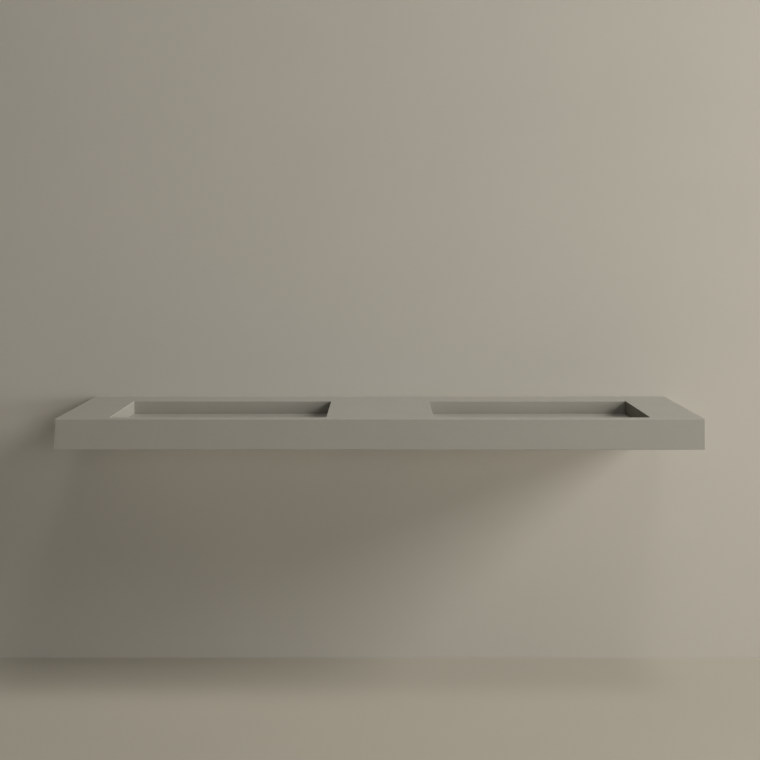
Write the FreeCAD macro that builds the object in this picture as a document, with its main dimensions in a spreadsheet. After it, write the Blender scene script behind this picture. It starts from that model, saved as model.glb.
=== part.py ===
import FreeCAD, Part
import math
import os
import re
import Sketcher

# A wall-hung vanity top with two sunken basins, in millimetres. X runs to the right as seen from the front,
# the front faces -Y, the wall is the plane y = 0, and the deck's upper face is the plane z = 0.

SIZES = {
    # The slab: a deck with aprons below its front and its ends, all cut from one thickness of sheet.
    "top_width": 1800,
    "top_depth": 480,
    "slab_height": 85,
    "sheet_thickness": 12,
    "front_corner_radius": 2,
    "top_edge_radius": 0.5,
    "lower_edge_radius": 1,
    # The two basins: upright walls under the deck's cut-outs, and a floor that falls to the waste.
    "end_margin": 145,
    "basin_gap": 300,
    "basin_length": 340,
    "front_rim": 30,
    "rim_edge_radius": 0.5,
    "basin_depth": 39,
    "floor_thickness": 15,
    "floor_fall": 3,
    "waste_flat": 90,
    "waste_hole_diameter": 46,
    "seat_gap": 1,
    # The waste's body: a flange in the floor's seat, a threaded tail and a bridge across its bore.
    "flange_diameter": 66,
    "flange_thickness": 3,
    "flange_bevel": 1,
    "throat_diameter": 42,
    "throat_depth": 6,
    "thread_diameter": 41.9,
    "tail_bore": 35,
    "tail_drop": 58,
    "hub_setback": 32,
    "hub_height": 10,
    "hub_diameter": 14,
    "bridge_width": 6,
    # What clamps the body to the floor, and the relief below it where the trap's thread begins.
    "flange_gasket_diameter": 64,
    "flange_gasket_thickness": 2,
    "under_washer_diameter": 62,
    "under_washer_thickness": 4,
    "slip_washer_diameter": 60,
    "slip_washer_thickness": 1.5,
    "nut_across_flats": 55,
    "nut_height": 10,
    "nut_collar_diameter": 54,
    "nut_collar_height": 3,
    "relief_gap": 1,
    "relief_width": 2,
    "relief_depth": 1,
    # The push-open mechanism: a fixed post, a spring on it, and a plunger with the cap and its seal.
    "stud_diameter": 8,
    "collar_diameter": 14,
    "collar_thickness": 3,
    "post_diameter": 8.8,
    "post_height": 15,
    "post_engagement": 6,
    "plunger_diameter": 14,
    "plunger_gap": 0.3,
    "plunger_crown": 4,
    "spigot_diameter": 8,
    "spigot_height": 2.5,
    "spring_wire": 1,
    "spring_diameter": 8.2,
    "spring_flat": 0.2,
    "plug_travel": 8,
    "plug_seal_diameter": 54,
    "plug_seal_bore": 46,
    "plug_seal_thickness": 2,
    "seal_gap": 0.3,
    "cap_diameter": 60,
    "cap_rim": 2.5,
    "cap_height": 5,
    # The wall brackets: a plate against the wall, and an arm with a tapered web below it.
    "plate_width": 80,
    "plate_height": 60,
    "plate_thickness": 6,
    "plate_top_gap": 2,
    "plate_corner_radius": 6,
    "wall_hole_diameter": 11,
    "wall_hole_spacing": 50,
    "wall_hole_height": 20,
    "arm_width": 40,
    "arm_front_gap": 62,
    "arm_thickness": 5,
    "arm_tip_radius": 12,
    "web_thickness": 6,
    "web_tip_depth": 12,
    # The battens bonded under the deck, with threaded inserts for the screws that hold the arms.
    "batten_width": 60,
    "batten_front_gap": 58,
    "batten_thickness": 12,
    "batten_setback": 10,
    "insert_diameter": 9,
    "insert_length": 10,
    "screw_diameter": 6,
    "screw_length": 14,
    "screw_offset": 12,
    "screw_setback": 100,
    "screw_tip_gap": 66,
    "head_diameter": 10.5,
    "head_height": 3.3,
    "socket_across_flats": 4,
    "socket_depth": 2,
    "washer_diameter": 12,
    "washer_thickness": 1.6,
    # The clearance all round a fixed pin or ring, and how near two places count as the same.
    "fit_gap": 0.15,
    "hair": 0.01,
}

# Places that follow from the sizes. A setback is measured back from the wall, and a drop down from the deck's
# upper face, or inside the waste down from the flange's.
PLACES = {
    "basin_width": "(top_width - basin_gap) / 2 - end_margin",
    "basin_centre": "(basin_gap + basin_width) / 2",
    "basin_front": "top_depth - front_rim",
    "basin_rear": "top_depth - front_rim - basin_length",
    "waste_setback": "top_depth - front_rim - basin_length / 2",
    "waste_drop": "basin_depth + floor_fall",
    "floor_under": "basin_depth + floor_thickness",
    "tail_length": "floor_under - waste_drop + tail_drop",
    "post_top": "collar_thickness + post_height - hub_setback",
    "cap_under": "seal_gap + plug_travel + plug_seal_thickness",
    "plunger_bore": "post_diameter + 2 * plunger_gap",
    "slip_washer_drop": "floor_under + under_washer_thickness",
    "nut_drop": "slip_washer_drop + slip_washer_thickness",
    "ring_bore": "thread_diameter + 2 * fit_gap",
    "relief_under": "nut_drop + nut_height + relief_gap + relief_width - waste_drop",
    "arm_drop": "sheet_thickness + batten_thickness",
    "arm_under": "arm_drop + arm_thickness",
    "plate_under": "sheet_thickness + plate_top_gap + plate_height",
    "arm_reach": "top_depth - sheet_thickness - arm_front_gap",
    "batten_reach": "top_depth - sheet_thickness - batten_front_gap",
    "front_screw_setback": "arm_reach - screw_tip_gap",
    "outer_bracket_place": "(top_width - end_margin) / 2",
    "inner_bracket_place": "basin_gap / 4",
}

SPRING_TURNS = 6
SPRING_STEPS_PER_TURN = 4
SPRING_SIDES = 6

doc = FreeCAD.newDocument("vanity_top")
sheet = doc.addObject("Spreadsheet::Sheet", "Sizes")
for row, (name, content) in enumerate([*SIZES.items(), *PLACES.items()], 1):
    sheet.set(f"A{row}", name)
    sheet.set(f"B{row}", "=" + content if name in PLACES else str(content))
    sheet.setAlias(f"B{row}", name)
doc.recompute()


def on_sheet(formula):
    """The formula, with each alias written as a reference to the sheet."""

    def reference(word):
        known = word[0] in SIZES or word[0] in PLACES
        return "Sizes." + word[0] if known else word[0]

    return re.sub(r"[a-z]\w*", reference, formula)


def amount(formula):
    """The number that a formula on the sheet's aliases gives."""
    return float(sheet.evalExpression(on_sheet(formula)))


def bind(thing, path, formula):
    """Ties one property to a formula on the sheet's aliases."""
    thing.setExpression(path, on_sheet(formula))


def place(thing, x="0", y="0", z="0"):
    """Ties the thing's place to three formulas."""
    for axis, formula in zip("xyz", (x, y, z)):
        bind(thing, f"Placement.Base.{axis}", formula)


def new_body(label, x="0", y="0", z="0"):
    """An empty body at a place."""
    body = doc.addObject("PartDesign::Body", label)
    place(body, x, y, z)
    return body


def origin_plane(body, plane):
    """One of the body's own origin planes, by the two axes that it holds."""
    return next(each for each in body.Origin.OriginFeatures if each.Role == plane + "_Plane")


def sketch_on(body, plane, height="0"):
    """A sketch on one of the body's own origin planes, moved along the plane's normal."""
    sketch = body.newObject("Sketcher::SketchObject", "Sketch")
    sketch.AttachmentSupport = (origin_plane(body, plane), [""])
    sketch.MapMode = "FlatFace"
    bind(sketch, "AttachmentOffset.Base.z", height)
    return sketch


def dimension(sketch, constraint, formula):
    """Adds one dimension to a sketch and ties it to a formula."""
    number = sketch.addConstraint(constraint)
    sketch.renameConstraint(number, f"size_{number}")
    bind(sketch, f"Constraints.size_{number}", formula)


def pin_point(sketch, edge, point, x, y):
    """Fixes a point of an edge at formulas for x and y, on the sketch's axis where one is zero."""
    for kind, axis, formula in (("DistanceX", -2, x), ("DistanceY", -1, y)):
        if formula == "0":
            sketch.addConstraint(Sketcher.Constraint("PointOnObject", edge, point, axis))
        else:
            dimension(sketch, Sketcher.Constraint(kind, edge, point, amount(formula)), formula)


def outward_arc(start, end, radius):
    """The counter-clockwise arc of this radius from start to end, less than half a circle."""
    half = (end - start) / 2
    left = FreeCAD.Vector(-half.y, half.x, 0).normalize()
    centre = start + half + left * math.sqrt(radius**2 - half.Length**2)
    first, last = (math.atan2(tip.y - centre.y, tip.x - centre.x) for tip in (start, end))
    return Part.ArcOfCircle(Part.Circle(centre, FreeCAD.Vector(0, 0, 1), radius), first, last)


def outline(sketch, corners):
    """Closes edges through corners (x, y), counter-clockwise. A corner's third value makes the edge that
    leaves it an arc of that radius."""
    first = sketch.GeometryCount
    spots = [FreeCAD.Vector(amount(corner[0]), amount(corner[1]), 0) for corner in corners]
    ends = spots[1:] + spots[:1]
    for corner, start, end in zip(corners, spots, ends):
        round_edge = len(corner) == 3
        shape = outward_arc(start, end, amount(corner[2])) if round_edge else Part.LineSegment(start, end)
        sketch.addGeometry(shape, False)
    for index, corner in enumerate(corners):
        edge = first + index
        following = first + (index + 1) % len(corners)
        sketch.addConstraint(Sketcher.Constraint("Coincident", edge, 2, following, 1))
        pin_point(sketch, edge, 1, corner[0], corner[1])
        if len(corner) == 3:
            dimension(sketch, Sketcher.Constraint("Radius", edge, amount(corner[2])), corner[2])


def rectangle(sketch, left, right, front, rear):
    """A rectangle between two x and two y formulas."""
    outline(sketch, [(left, front), (right, front), (right, rear), (left, rear)])


def circle(sketch, diameter, x="0", y="0"):
    """A circle of a bound diameter about a bound centre."""
    centre = FreeCAD.Vector(amount(x), amount(y), 0)
    edge = sketch.addGeometry(Part.Circle(centre, FreeCAD.Vector(0, 0, 1), amount(diameter) / 2), False)
    pin_point(sketch, edge, 3, x, y)
    dimension(sketch, Sketcher.Constraint("Diameter", edge, amount(diameter)), diameter)


def hexagon(sketch, across_flats):
    """A six-sided outline about the sketch's origin, with two of its points on the x axis."""
    point, flat, half = (f"{across_flats} / {part}" for part in ("sqrt(3)", "2", "sqrt(12)"))
    upper = [(point, "0"), (half, flat), ("-" + half, flat)]
    lower = [("-" + point, "0"), ("-" + half, "-" + flat), (half, "-" + flat)]
    outline(sketch, upper + lower)


def pad(body, sketch, length, side="One side", reverse=False):
    """Adds material along the sketch's normal, against it if reversed, or half to each side."""
    feature = body.newObject("PartDesign::Pad", "Pad")
    feature.Profile = sketch
    feature.SideType = side
    feature.Reversed = reverse
    bind(feature, "Length", length)


def pocket(body, sketch, length, reverse=False):
    """Cuts against the sketch's normal, or along it if reversed."""
    feature = body.newObject("PartDesign::Pocket", "Pocket")
    feature.Profile = sketch
    feature.Reversed = reverse
    bind(feature, "Length", length)


def turn(body, corners):
    """Turns a profile of (radius, height) corners about the body's upright axis."""
    sketch = sketch_on(body, "XZ")
    outline(sketch, corners)
    feature = body.newObject("PartDesign::Revolution", "Revolution")
    feature.Profile = sketch
    feature.ReferenceAxis = (sketch, ["V_Axis"])


def round_edges(body, radius, chosen):
    """Rounds the edges of the body so far whose bounding boxes the test chooses."""
    doc.recompute()
    base = body.Tip
    names = [f"Edge{number}" for number, edge in enumerate(base.Shape.Edges, 1) if chosen(edge.BoundBox)]
    feature = body.newObject("PartDesign::Fillet", "Fillet")
    feature.Base = (base, names)
    bind(feature, "Radius", radius)


def deck_panel():
    """The sheet that forms the upper face, with a cut-out for each basin."""
    body = new_body("deck_panel")
    sketch = sketch_on(body, "XY")
    rectangle(sketch, "-top_width / 2", "top_width / 2", "-top_depth", "0")
    for left, right in (
        ("-basin_centre - basin_width / 2", "basin_width / 2 - basin_centre"),
        ("basin_centre - basin_width / 2", "basin_centre + basin_width / 2"),
    ):
        rectangle(sketch, left, right, "-basin_front", "-basin_rear")
    pad(body, sketch, "sheet_thickness", reverse=True)

    hair = amount("hair")
    front = -amount("top_depth")
    end = amount("top_width / 2") - hair
    corner = front + amount("front_corner_radius") + hair
    basin_front = -amount("basin_front") - hair
    basin_rear = -amount("basin_rear") + hair
    round_edges(body, "front_corner_radius", lambda box: box.YMax < front + hair and box.ZLength > hair)
    round_edges(
        body,
        "top_edge_radius",
        lambda box: box.ZMin > -hair and (box.YMax < corner or box.XMin > end or box.XMax < -end),
    )
    round_edges(
        body,
        "rim_edge_radius",
        lambda box: box.ZMin > -hair and box.YMin > basin_front and box.YMax < basin_rear,
    )
    return body


def front_apron():
    """The strip below the deck's front edge, across the whole width."""
    body = new_body("front_apron")
    sketch = sketch_on(body, "XY", "-sheet_thickness")
    rectangle(sketch, "-top_width / 2", "top_width / 2", "-top_depth", "sheet_thickness - top_depth")
    pad(body, sketch, "slab_height - sheet_thickness", reverse=True)

    hair = amount("hair")
    front = -amount("top_depth")
    behind = front + amount("sheet_thickness") - hair
    under = -amount("slab_height")
    round_edges(body, "front_corner_radius", lambda box: box.YMax < front + hair and box.ZLength > hair)
    round_edges(body, "lower_edge_radius", lambda box: box.ZMax < under + hair and box.YMin < behind)
    return body


def end_apron(side, sign):
    """The strip below one end of the deck, behind the front apron."""
    body = new_body(f"{side}_end_apron")
    sketch = sketch_on(body, "XY", "-sheet_thickness")
    near, far = "top_width / 2 - sheet_thickness", "top_width / 2"
    left, right = (near, far) if sign == "" else ("-top_width / 2", "sheet_thickness - top_width / 2")
    rectangle(sketch, left, right, "sheet_thickness - top_depth", "0")
    pad(body, sketch, "slab_height - sheet_thickness", reverse=True)

    hair = amount("hair")
    end = amount("top_width / 2") - hair
    under = -amount("slab_height")
    round_edges(
        body,
        "lower_edge_radius",
        lambda box: box.ZMax < under + hair and (box.XMin > end or box.XMax < -end),
    )
    return body


def wall_strip(label, centre, setback, width, length):
    """One upright strip of a basin, between the deck and the floor's border."""
    strip = doc.addObject("Part::Box", label)
    bind(strip, "Length", width)
    bind(strip, "Width", length)
    bind(strip, "Height", "basin_depth - sheet_thickness")
    place(strip, f"{centre} - ({width}) / 2", f"-({setback})", "-basin_depth")
    return strip


def basin_walls(side, sign):
    """The four strips round one basin: the front and rear ones lap the ends of the other two."""
    centre = sign + "basin_centre"
    lapped = "basin_width + 2 * sheet_thickness"
    shift = "(basin_width + sheet_thickness) / 2"
    outer, inner = ("-", "+") if sign else ("+", "-")
    name = f"{side}_basin_"
    front = "basin_front + sheet_thickness"
    lapping = [
        wall_strip(name + "front_wall", centre, front, lapped, "sheet_thickness"),
        wall_strip(name + "rear_wall", centre, "basin_rear", lapped, "sheet_thickness"),
    ]
    between = [
        wall_strip(name + wall, centre + away + shift, "basin_front", "sheet_thickness", "basin_length")
        for wall, away in (("outer_wall", outer), ("inner_wall", inner))
    ]
    return lapping + between


def basin_floor(side, sign):
    """The floor of one basin: a border under the walls, four falls to a flat, and a stepped waste hole."""
    body = new_body(f"{side}_basin_floor", sign + "basin_centre", "-waste_setback")
    sketch = sketch_on(body, "XY", "-basin_depth")
    half_width = "(basin_width / 2 + sheet_thickness)"
    half_length = "(basin_length / 2 + sheet_thickness)"
    rectangle(sketch, "-" + half_width, half_width, "-" + half_length, half_length)
    pad(body, sketch, "floor_thickness", reverse=True)

    falls = body.newObject("PartDesign::SubtractiveWedge", "Falls")
    falls.AttachmentSupport = (origin_plane(body, "XZ"), [""])
    falls.MapMode = "FlatFace"
    bind(falls, "AttachmentOffset.Base.y", "-waste_drop")
    falls.Ymin = 0
    bind(falls, "Ymax", "floor_fall")
    for end, sign_of_end in (("min", "-"), ("max", "")):
        bind(falls, f"X{end}", f"{sign_of_end}waste_flat / 2")
        bind(falls, f"Z{end}", f"{sign_of_end}waste_flat / 2")
        bind(falls, f"X2{end}", f"{sign_of_end}basin_width / 2")
        bind(falls, f"Z2{end}", f"{sign_of_end}basin_length / 2")

    seat = sketch_on(body, "XY", "-waste_drop")
    circle(seat, "flange_diameter + 2 * seat_gap")
    pocket(body, seat, "flange_thickness + flange_gasket_thickness")
    hole = sketch_on(body, "XY", "-waste_drop")
    circle(hole, "waste_hole_diameter")
    pocket(body, hole, "floor_thickness")
    return body


def waste_place(sign):
    """The upright axis of one waste, at the level of its flange's upper face."""
    return sign + "basin_centre", "-waste_setback", "-waste_drop"


def waste_body(side, sign):
    """The turned body: flange, coned throat, and a tail with a thread for the nut, a relief, and a thread for
    the trap. A bridge with a tapped hub crosses the bore."""
    body = new_body(f"{side}_waste_body", *waste_place(sign))
    turn(
        body,
        [
            ("throat_diameter / 2", "0"),
            ("tail_bore / 2", "-throat_depth"),
            ("tail_bore / 2", "-tail_length"),
            ("thread_diameter / 2", "-tail_length"),
            ("thread_diameter / 2", "-relief_under"),
            ("thread_diameter / 2 - relief_depth", "-relief_under"),
            ("thread_diameter / 2 - relief_depth", "relief_width - relief_under"),
            ("thread_diameter / 2", "relief_width - relief_under"),
            ("thread_diameter / 2", "-flange_thickness"),
            ("flange_diameter / 2", "-flange_thickness"),
            ("flange_diameter / 2", "-flange_bevel"),
            ("flange_diameter / 2 - flange_bevel", "0"),
        ],
    )
    bar = sketch_on(body, "XY", "-hub_setback")
    reach = "(tail_bore + thread_diameter) / 4"
    rectangle(bar, "-" + reach, reach, "-bridge_width / 2", "bridge_width / 2")
    pad(body, bar, "hub_height", reverse=True)
    hub = sketch_on(body, "XY", "-hub_setback")
    circle(hub, "hub_diameter")
    pad(body, hub, "hub_height", reverse=True)
    tapping = sketch_on(body, "XY", "-hub_setback")
    circle(tapping, "stud_diameter")
    pocket(body, tapping, "hub_height")
    return body


def ring(label, sign, drop, outer, inner, thickness):
    """A flat ring on a waste's axis, with its upper face at a drop below the deck's."""
    x, y, _ = waste_place(sign)
    body = new_body(label, x, y, f"-({drop})")
    sketch = sketch_on(body, "XY")
    circle(sketch, outer)
    circle(sketch, inner)
    pad(body, sketch, thickness, reverse=True)
    return body


def backnut(side, sign):
    """The six-sided nut that draws the waste down, with a round collar against the slip washer."""
    x, y, _ = waste_place(sign)
    body = new_body(f"{side}_backnut", x, y, "-nut_drop")
    collar = sketch_on(body, "XY")
    circle(collar, "nut_collar_diameter")
    pad(body, collar, "nut_collar_height", reverse=True)
    sketch = sketch_on(body, "XY", "-nut_collar_height")
    hexagon(sketch, "nut_across_flats")
    pad(body, sketch, "nut_height - nut_collar_height", reverse=True)
    bore = sketch_on(body, "XY")
    circle(bore, "ring_bore")
    pocket(body, bore, "nut_height")
    return body


def cartridge_post(side, sign):
    """The fixed post: a stud in the hub, a collar on it, and a guide for the plunger."""
    body = new_body(f"{side}_cartridge_post", *waste_place(sign))
    turn(
        body,
        [
            ("0", "-hub_setback - hub_height"),
            ("stud_diameter / 2 - fit_gap", "-hub_setback - hub_height"),
            ("stud_diameter / 2 - fit_gap", "-hub_setback"),
            ("collar_diameter / 2", "-hub_setback"),
            ("collar_diameter / 2", "collar_thickness - hub_setback"),
            ("post_diameter / 2", "collar_thickness - hub_setback"),
            ("post_diameter / 2", "post_top"),
            ("0", "post_top"),
        ],
    )
    return body


def plunger(side, sign):
    """The sleeve that slides on the post, closed above, with a spigot for the cap."""
    body = new_body(f"{side}_plunger", *waste_place(sign))
    turn(
        body,
        [
            ("0", "cap_under - plunger_crown"),
            ("plunger_bore / 2", "cap_under - plunger_crown"),
            ("plunger_bore / 2", "post_top - post_engagement"),
            ("plunger_diameter / 2", "post_top - post_engagement"),
            ("plunger_diameter / 2", "cap_under"),
            ("spigot_diameter / 2", "cap_under"),
            ("spigot_diameter / 2", "cap_under + spigot_height"),
            ("0", "cap_under + spigot_height"),
        ],
    )
    return body


def plug_cap(side, sign):
    """The domed cap, with a blind hole below for the plunger's spigot."""
    body = new_body(f"{side}_plug_cap", *waste_place(sign))
    crown = "(cap_height - cap_rim)"
    dome_radius = f"((cap_diameter / 2) ^ 2 + {crown} ^ 2) / (2 * {crown})"
    turn(
        body,
        [
            ("spigot_diameter / 2 + fit_gap", "cap_under"),
            ("cap_diameter / 2", "cap_under"),
            ("cap_diameter / 2", "cap_under + cap_rim", dome_radius),
            ("0", "cap_under + cap_height"),
            ("0", "cap_under + spigot_height"),
            ("spigot_diameter / 2 + fit_gap", "cap_under + spigot_height"),
        ],
    )
    return body


def arc_with_control(start, control, end):
    """The arc from start to end that is tangent to the lines from both to the control point."""
    middle = (start + end) / 2
    lean = math.atan2((control - middle).Length, (end - middle).Length)
    top = middle + (control - middle) * (math.tan(lean / 2) / math.tan(lean))
    return Part.Arc(start, top, end).toShape()


def helix_edges(radius, low, high):
    """A helix as two tangent arcs for each step, from the low level to the high one."""
    steps = SPRING_TURNS * SPRING_STEPS_PER_TURN
    rise = (high - low) / (2 * math.pi * SPRING_TURNS)

    def spot(angle):
        return FreeCAD.Vector(radius * math.cos(angle), radius * math.sin(angle), low + rise * angle)

    def heading(angle):
        return FreeCAD.Vector(-radius * math.sin(angle), radius * math.cos(angle), rise).normalize()

    edges = []
    for step in range(steps):
        angles = [2 * math.pi * each / SPRING_STEPS_PER_TURN for each in (step, step + 1)]
        start, end = (spot(angle) for angle in angles)
        leaving, arriving = (heading(angle) for angle in angles)
        chord = end - start
        along = chord.dot(leaving + arriving)
        bend = 1 - leaving.dot(arriving)
        reach = (math.sqrt(along**2 + 2 * bend * chord.dot(chord)) - along) / (2 * bend)
        first_control = start + leaving * reach
        last_control = end - arriving * reach
        joint = (first_control + last_control) / 2
        edges.append(arc_with_control(start, first_control, joint))
        edges.append(arc_with_control(joint, last_control, end))
    return edges, spot(0), heading(0)


def plunger_spring(side, sign):
    """The coil spring between the post's end and the plunger's crown, its wire drawn with six sides."""
    wire = amount("spring_wire")
    margin = amount("spring_wire / 2 + spring_flat")
    low = amount("post_top") + margin
    high = amount("cap_under - plunger_crown") - margin
    edges, start, heading = helix_edges(amount("(spring_diameter - spring_wire) / 2"), low, high)
    across = start.cross(heading).normalize() * (wire / 2)
    turning = [FreeCAD.Rotation(heading, 360 * side_of / SPRING_SIDES) for side_of in range(SPRING_SIDES + 1)]
    section = Part.makePolygon([start + turned.multVec(across) for turned in turning])
    spring = doc.addObject("Part::Feature", f"{side}_plunger_spring")
    spring.Shape = Part.Wire(edges).makePipeShell([section], True, False)
    place(spring, *waste_place(sign))
    print(f"{spring.Label}: gap between turns {(high - low) / SPRING_TURNS - wire:.2f}")
    return spring


def waste_pieces(side, sign):
    """Everything that stays still in one waste, then the plug that moves."""

    def flat_ring(label, drop, bore="ring_bore"):
        return ring(f"{side}_{label}", sign, drop, label + "_diameter", bore, label + "_thickness")

    return [
        waste_body(side, sign),
        flat_ring("flange_gasket", "waste_drop + flange_thickness"),
        flat_ring("under_washer", "floor_under"),
        flat_ring("slip_washer", "slip_washer_drop"),
        backnut(side, sign),
        cartridge_post(side, sign),
        plunger_spring(side, sign),
        plunger(side, sign),
        flat_ring("plug_seal", "waste_drop - cap_under", "plug_seal_bore"),
        plug_cap(side, sign),
    ]


def bracket(name, x):
    """One welded wall bracket: a plate with two bolt holes, an arm, and a web that tapers to its tip."""
    body = new_body(f"{name}_bracket", x)
    plate = sketch_on(body, "XZ")
    plate_top = "-sheet_thickness - plate_top_gap"
    rectangle(plate, "-plate_width / 2", "plate_width / 2", "-plate_under", plate_top)
    pad(body, plate, "plate_thickness")
    hair = amount("hair")
    round_edges(body, "plate_corner_radius", lambda box: box.XLength < hair and box.ZLength < hair)

    arm = sketch_on(body, "XY", "-arm_drop")
    rectangle(arm, "-arm_width / 2", "arm_width / 2", "-arm_reach", "-plate_thickness")
    pad(body, arm, "arm_thickness", reverse=True)
    tip = -amount("arm_reach") + hair
    round_edges(body, "arm_tip_radius", lambda box: box.YMax < tip and box.ZLength > hair)

    web = sketch_on(body, "YZ")
    outline(
        web,
        [
            ("-arm_reach", "-arm_under - web_tip_depth"),
            ("-plate_thickness", "-plate_under"),
            ("-plate_thickness", "-arm_under"),
            ("-arm_reach", "-arm_under"),
        ],
    )
    pad(body, web, "web_thickness", side="Symmetric")

    bolts = sketch_on(body, "XZ")
    for x_place in ("-wall_hole_spacing / 2", "wall_hole_spacing / 2"):
        circle(bolts, "wall_hole_diameter", x_place, "wall_hole_height - plate_under")
    pocket(body, bolts, "plate_thickness", reverse=True)
    screws = sketch_on(body, "XY", "-arm_drop")
    for x_place, y_place in screw_places():
        circle(screws, "screw_diameter + 4 * fit_gap", x_place, y_place)
    pocket(body, screws, "arm_thickness")
    return body


def screw_places():
    """The two screws of a bracket, one each side of its web."""
    return [("-screw_offset", "-screw_setback"), ("screw_offset", "-front_screw_setback")]


def batten(name, x):
    """The strip bonded under the deck above one bracket, with two blind holes for inserts."""
    body = new_body(f"{name}_batten", x)
    sketch = sketch_on(body, "XY", "-sheet_thickness")
    rectangle(sketch, "-batten_width / 2", "batten_width / 2", "-batten_reach", "-batten_setback")
    pad(body, sketch, "batten_thickness", reverse=True)
    holes = sketch_on(body, "XY", "-arm_drop")
    for x_place, y_place in screw_places():
        circle(holes, "insert_diameter + 2 * fit_gap", x_place, y_place)
    pocket(body, holes, "insert_length + fit_gap", reverse=True)
    return body


def insert_pattern():
    """One threaded insert, standing up from the arm's upper face."""
    body = new_body("insert")
    sketch = sketch_on(body, "XY")
    circle(sketch, "insert_diameter")
    circle(sketch, "screw_diameter + 2 * fit_gap")
    pad(body, sketch, "insert_length")
    return body


def screw_pattern():
    """One screw with a socketed round head, its head below the washer."""
    body = new_body("screw")
    head_top = "-arm_thickness - washer_thickness"
    head = sketch_on(body, "XY", head_top)
    circle(head, "head_diameter")
    pad(body, head, "head_height", reverse=True)
    shank = sketch_on(body, "XY", head_top)
    circle(shank, "screw_diameter")
    pad(body, shank, "screw_length")
    socket = sketch_on(body, "XY", head_top + " - head_height")
    hexagon(socket, "socket_across_flats")
    pocket(body, socket, "socket_depth", reverse=True)
    return body


def washer_pattern():
    """One flat washer against the arm's lower face."""
    body = new_body("washer")
    sketch = sketch_on(body, "XY", "-arm_thickness")
    circle(sketch, "washer_diameter")
    circle(sketch, "screw_diameter + 2 * fit_gap")
    pad(body, sketch, "washer_thickness", reverse=True)
    return body


def at_every_screw(label, pattern, bracket_places):
    """Copies of one fastener at every screw of every bracket, as one group."""
    copies = []
    for bracket_place in bracket_places:
        for x_place, y_place in screw_places():
            copy = doc.addObject("App::Link", label + "_copy")
            copy.LinkedObject = pattern
            place(copy, f"{bracket_place} + {x_place}", y_place, "-arm_drop")
            copies.append(copy)
    group = doc.addObject("Part::Compound", label)
    group.Links = copies
    return group


BRACKETS = {
    "left_outer": "-outer_bracket_place",
    "left_inner": "-inner_bracket_place",
    "right_inner": "inner_bracket_place",
    "right_outer": "outer_bracket_place",
}
SIDES = {"left": "-", "right": ""}

pieces = [deck_panel(), front_apron()]
for side, sign in SIDES.items():
    pieces.append(end_apron(side, sign))
    pieces.extend(basin_walls(side, sign))
    pieces.append(basin_floor(side, sign))
    pieces.extend(waste_pieces(side, sign))
for name, x in BRACKETS.items():
    pieces.append(bracket(name, x))
    pieces.append(batten(name, x))
for label, pattern in (
    ("batten_inserts", insert_pattern()),
    ("bracket_screws", screw_pattern()),
    ("bracket_washers", washer_pattern()),
):
    pieces.append(at_every_screw(label, pattern, BRACKETS.values()))

doc.recompute()
for thing in doc.Objects:
    if "Invalid" in thing.State or "Error" in thing.State:
        raise RuntimeError(f"{thing.Label} did not build: {thing.State}")
for piece in pieces:
    if piece.Shape.isNull() or not piece.Shape.isValid() or not piece.Shape.Solids:
        raise RuntimeError(f"{piece.Label} has no valid solid")

os.makedirs("parts", exist_ok=True)
for piece in pieces:
    piece.Shape.exportStep(os.path.join("parts", piece.Label + ".step"))
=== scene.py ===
import bmesh
import bpy
import numpy as np
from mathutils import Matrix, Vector


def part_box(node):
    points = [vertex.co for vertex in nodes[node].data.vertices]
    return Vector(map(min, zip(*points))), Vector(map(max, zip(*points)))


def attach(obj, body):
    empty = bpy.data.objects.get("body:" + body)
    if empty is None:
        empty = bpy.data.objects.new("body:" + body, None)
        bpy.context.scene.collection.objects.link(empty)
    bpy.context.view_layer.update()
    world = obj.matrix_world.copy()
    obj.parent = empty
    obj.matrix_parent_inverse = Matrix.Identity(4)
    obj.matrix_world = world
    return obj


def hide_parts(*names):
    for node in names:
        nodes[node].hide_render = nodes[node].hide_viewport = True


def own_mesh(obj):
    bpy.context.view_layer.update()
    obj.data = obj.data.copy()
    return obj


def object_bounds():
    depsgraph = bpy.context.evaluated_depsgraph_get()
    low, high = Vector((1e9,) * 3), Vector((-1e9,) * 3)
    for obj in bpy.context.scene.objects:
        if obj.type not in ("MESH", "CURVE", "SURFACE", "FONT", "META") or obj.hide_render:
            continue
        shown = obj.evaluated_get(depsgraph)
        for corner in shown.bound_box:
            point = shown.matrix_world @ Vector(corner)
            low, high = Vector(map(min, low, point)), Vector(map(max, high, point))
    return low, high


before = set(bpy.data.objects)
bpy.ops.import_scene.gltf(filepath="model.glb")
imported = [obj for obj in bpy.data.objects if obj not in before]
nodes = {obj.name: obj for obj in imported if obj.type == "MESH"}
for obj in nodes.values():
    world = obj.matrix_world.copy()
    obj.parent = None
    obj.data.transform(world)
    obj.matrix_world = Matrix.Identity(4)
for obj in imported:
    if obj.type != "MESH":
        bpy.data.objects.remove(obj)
cad_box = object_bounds()


# The slab is a deck with aprons under its front and its ends, cut from 12 mm sheet of mineral-filled acrylic.
# The sheets are bonded with adhesive of their own colour and sanded matte, so that no joint shows.
def feed(tree, socket, value):
    """Gives an input a value, or links it to the socket that feeds it."""
    if isinstance(value, bpy.types.NodeSocket):
        tree.links.new(value, socket)
    else:
        socket.default_value = value


def add_node(tree, kind, inputs=None, **settings):
    """One shader node, with its settings, and its inputs by name or number."""
    node = tree.nodes.new("ShaderNode" + kind)
    for name, value in settings.items():
        setattr(node, name, value)
    for key, value in (inputs or {}).items():
        feed(tree, node.inputs[key], value)
    return node


def calc(tree, operation, *terms):
    """One step of arithmetic on values and sockets."""
    return add_node(tree, "Math", dict(enumerate(terms)), operation=operation).outputs[0]


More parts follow.
